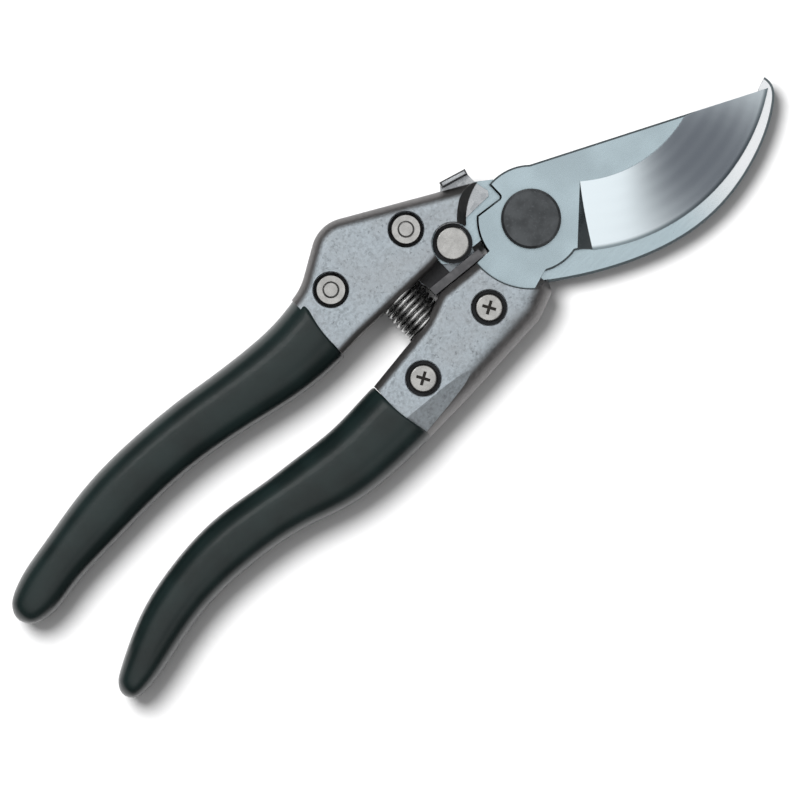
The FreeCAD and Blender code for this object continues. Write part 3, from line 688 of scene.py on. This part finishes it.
class SHEARS_OT_finish_fasteners(bpy.types.Operator):
    """Finish the nuts, bolts, screws and washers that hold the blades in the castings"""

    bl_idname = "shears.finish_fasteners"
    bl_label = "Finish Fasteners"

    def execute(self, context):
        nickel = bright_nickel(tuple(context.scene.shears_finishes.nickel))
        finish_node(nickel, "hook_bolts", "hook_nuts", "blade_nuts", "latch_pin")
        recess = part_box("blade_screws")[1].z - 0.35 * MM
        finish_node(bright_nickel(tuple(context.scene.shears_finishes.nickel), recess), "blade_screws")
        oxide = black_oxide("black_oxide", (0.022, 0.023, 0.025))
        # The latch washer's black stands in for the shade down in its pocket.
        finish_node(oxide, "hook_washers", "blade_washers", "latch_washer")
        return {"FINISHED"}


class SHEARS_OT_finish_pivot(bpy.types.Operator):
    """Finish the pivot bolt, its nut, the shim and the bush"""

    bl_idname = "shears.finish_pivot"
    bl_label = "Finish Pivot"

    def execute(self, context):
        head = black_oxide("black_oxide_head", (0.068, 0.073, 0.077), axis=(0, 0, 0), pitch=0.45 * MM)
        finish_node(head, "pivot_bolt")
        finish_node(bpy.data.materials["black_oxide"], "pivot_nut")
        finish_node(shim_nylon(), "thrust_shim")
        finish_node(bearing_bronze(), "pivot_bush")
        return {"FINISHED"}


class SHEARS_OT_finish_latch(bpy.types.Operator):
    """Finish the latch lever"""

    bl_idname = "shears.finish_latch"
    bl_label = "Finish Latch"

    def execute(self, context):
        finish_node(lever_steel(), "latch_lever")
        return {"FINISHED"}


class SHEARS_OT_dip_grips(bpy.types.Operator):
    """Model the two dipped grips"""

    bl_idname = "shears.dip_grips"
    bl_label = "Dip Grips"

    def execute(self, context):
        settings = context.scene.shears_grips
        vinyl = grip_vinyl(tuple(settings.colour))
        dip_grip("hook_grip_sleeve", "hook_grip", "hook_side", vinyl, settings)
        dip_grip("blade_grip_sleeve", "blade_grip", "blade_side", vinyl, settings)
        return {"FINISHED"}


class SHEARS_OT_wind_spring(bpy.types.Operator):
    """Wind the return spring and finish the other spring-steel parts"""

    bl_idname = "shears.wind_spring"
    bl_label = "Wind Spring"

    def execute(self, context):
        wire = spring_steel()
        finish_node(wire, "pivot_lock_washer", "pivot_spring_washer", "latch_wave_washer")
        wind_spring(wire, context.scene.shears_spring)
        return {"FINISHED"}


class SHEARS_OT_finish_stop(bpy.types.Operator):
    """Finish the rubber stop"""

    bl_idname = "shears.finish_stop"
    bl_label = "Finish Stop"

    def execute(self, context):
        finish_node(stop_rubber(), "bumper")
        return {"FINISHED"}


class SHEARS_OT_set_stage(bpy.types.Operator):
    """Set the pale floor, the studio light and the camera"""

    bl_idname = "shears.set_stage"
    bl_label = "Set Stage"

    def execute(self, context):
        settings = context.scene.shears_stage
        aim = Vector((settings.aim_x, settings.aim_y, 0))
        lay_floor(aim)
        light_sky(context.scene, settings)
        key = hang_softbox("key_softbox", aim, settings.key_tilt, 0.6, settings.key_power)
        key.visible_glossy = False
        glint = hang_softbox("glint_softbox", aim, math.radians(29), 0.3, settings.glint_power)
        glint.visible_diffuse = False
        place_camera(context.scene, aim, settings)
        context.scene.view_settings.view_transform = "Standard"
        return {"FINISHED"}


# ---------------------------------------------------------------- stage


def lay_floor(aim):
    """A plain pale sweep under the shears."""
    clear_selection()
    bpy.ops.mesh.primitive_plane_add(size=12, location=(aim.x, aim.y, CAD_BOX[0].z - 0.02 * MM))
    floor = bpy.context.object
    floor.name = "floor"
    paper = Finish("pale_paper", {"Specular IOR Level": 0.1})
    tooth = paper.noise(1.5 * MM, detail=2.0)
    paper.give("Base Color", paper.mix(tooth, (0.61, 0.61, 0.615), (0.63, 0.63, 0.63)))
    paper.give("Roughness", paper.ramp(tooth, 0.3, 0.7, 0.80, 0.90))
    floor.data.materials.append(paper.material)


def image_direction(settings, right, up, off_vertical):
    """A direction in the sky, by its bearing in the view from above and its angle off the vertical."""
    turn = settings.heading
    bearing = Vector((
        right * math.cos(turn) - up * math.sin(turn),
        right * math.sin(turn) + up * math.cos(turn),
        0,
    )).normalized()
    return bearing * math.sin(off_vertical) + Vector((0, 0, math.cos(off_vertical)))


def light_sky(scene, settings):
    """A studio ceiling: even overhead, dim round the walls, with a white reflector and a dark flag."""
    world = bpy.data.worlds.new("studio")
    scene.world = world
    world.use_nodes = True
    tree = world.node_tree
    background = tree.nodes["Background"]
    bearing = tree.nodes.new("ShaderNodeTexCoord").outputs["Generated"]

    def spot(direction, inner, outer):
        """1 inside the inner angle about a direction, 0 outside the outer one."""
        dot = tree.nodes.new("ShaderNodeVectorMath")
        dot.operation = "DOT_PRODUCT"
        tree.links.new(bearing, dot.inputs[0])
        dot.inputs[1].default_value = direction
        ramp = tree.nodes.new("ShaderNodeMapRange")
        ramp.interpolation_type = "SMOOTHSTEP"
        tree.links.new(dot.outputs["Value"], ramp.inputs["Value"])
        ramp.inputs["From Min"].default_value = math.cos(math.radians(outer))
        ramp.inputs["From Max"].default_value = math.cos(math.radians(inner))
        return ramp.outputs["Result"]

    def layer(under, over, share):
        """One colour laid over another by its share."""
        node = tree.nodes.new("ShaderNodeMix")
        node.data_type = "RGBA"
        tree.links.new(share, node.inputs[0])
        for key, colour in ((6, under), (7, over)):
            if isinstance(colour, bpy.types.NodeSocket):
                tree.links.new(colour, node.inputs[key])
            else:
                node.inputs[key].default_value = (*colour, 1.0)
        return node.outputs[2]

    zenith = Vector((0, 0, 1))
    sky = layer((0.22, 0.22, 0.22), (0.07, 0.07, 0.07), spot(zenith, 78, 88))
    sky = layer(sky, (1.0, 1.0, 1.0), spot(zenith, 22, 54))
    reflector = image_direction(settings, -0.10, -1.0, math.radians(24))
    sky = layer(sky, (1.08, 1.08, 1.08), spot(reflector, 4, 19))
    flag = image_direction(settings, 0.88, -0.47, math.radians(19))
    sky = layer(sky, (0.17, 0.172, 0.19), spot(flag, 2.2, 11.5))
    tree.links.new(sky, background.inputs["Color"])
    background.inputs["Strength"].default_value = 1.0


def hang_softbox(name, aim, tilt, size, power):
    """A round softbox over the hook's side of the shears, tilted off the vertical."""
    distance = 1.2
    offset = Vector((0, math.sin(tilt), math.cos(tilt))) * distance
    bpy.ops.object.light_add(type="AREA", location=aim + offset, rotation=(-tilt, 0, 0))
    softbox = bpy.context.object
    softbox.name = name
    softbox.data.shape = "DISK"
    softbox.data.size = size
    softbox.data.energy = power
    return softbox


def place_camera(scene, aim, settings):
    """A long lens that looks straight down on the shears."""
    sensor = 36
    grip_middle = 10 * MM
    height = settings.field * settings.lens / sensor + grip_middle
    bpy.ops.object.camera_add(location=(aim.x, aim.y, height), rotation=(0, 0, settings.heading))
    camera = bpy.context.object
    camera.name = "camera"
    camera.data.lens = settings.lens
    camera.data.sensor_width = sensor
    camera.data.clip_start, camera.data.clip_end = 0.1, 20
    scene.camera = camera


# ---------------------------------------------------------------- panel and registration


class SHEARS_PT_workshop(bpy.types.Panel):
    """Everything that the shears' looks are made with"""

    bl_idname = "SHEARS_PT_workshop"
    bl_label = "Pruning Shears"
    bl_space_type = "VIEW_3D"
    bl_region_type = "UI"
    bl_category = "Shears"

    def draw(self, context):
        for title, pointer, operators in WORKSHOP:
            box = self.layout.box()
            box.label(text=title)
            settings = getattr(context.scene, pointer)
            for name in settings.__annotations__:
                box.prop(settings, name)
            for operator in operators:
                box.operator(operator.bl_idname)


WORKSHOP = (
    ("Finishes", "shears_finishes", (
        SHEARS_OT_finish_blades, SHEARS_OT_finish_castings, SHEARS_OT_finish_fasteners,
        SHEARS_OT_finish_pivot, SHEARS_OT_finish_latch, SHEARS_OT_finish_stop,
    )),
    ("Grips", "shears_grips", (SHEARS_OT_dip_grips,)),
    ("Spring", "shears_spring", (SHEARS_OT_wind_spring,)),
    ("Stage", "shears_stage", (SHEARS_OT_set_stage,)),
)
SETTINGS = {
    "shears_finishes": FinishSettings,
    "shears_grips": GripSettings,
    "shears_spring": SpringSettings,
    "shears_stage": StageSettings,
}
OPERATORS = [operator for _, _, operators in WORKSHOP for operator in operators]
CLASSES = [*SETTINGS.values(), *OPERATORS, SHEARS_PT_workshop]


def register():
    for each in CLASSES:
        bpy.utils.register_class(each)
    for name, group in SETTINGS.items():
        setattr(bpy.types.Scene, name, bpy.props.PointerProperty(type=group))


def unregister():
    for name in SETTINGS:
        delattr(bpy.types.Scene, name)
    for each in reversed(CLASSES):
        bpy.utils.unregister_class(each)


def main():
    register()
    for operator in OPERATORS:
        family, name = operator.bl_idname.split(".")
        getattr(getattr(bpy.ops, family), name)()


if __name__ == "__main__":
    main()
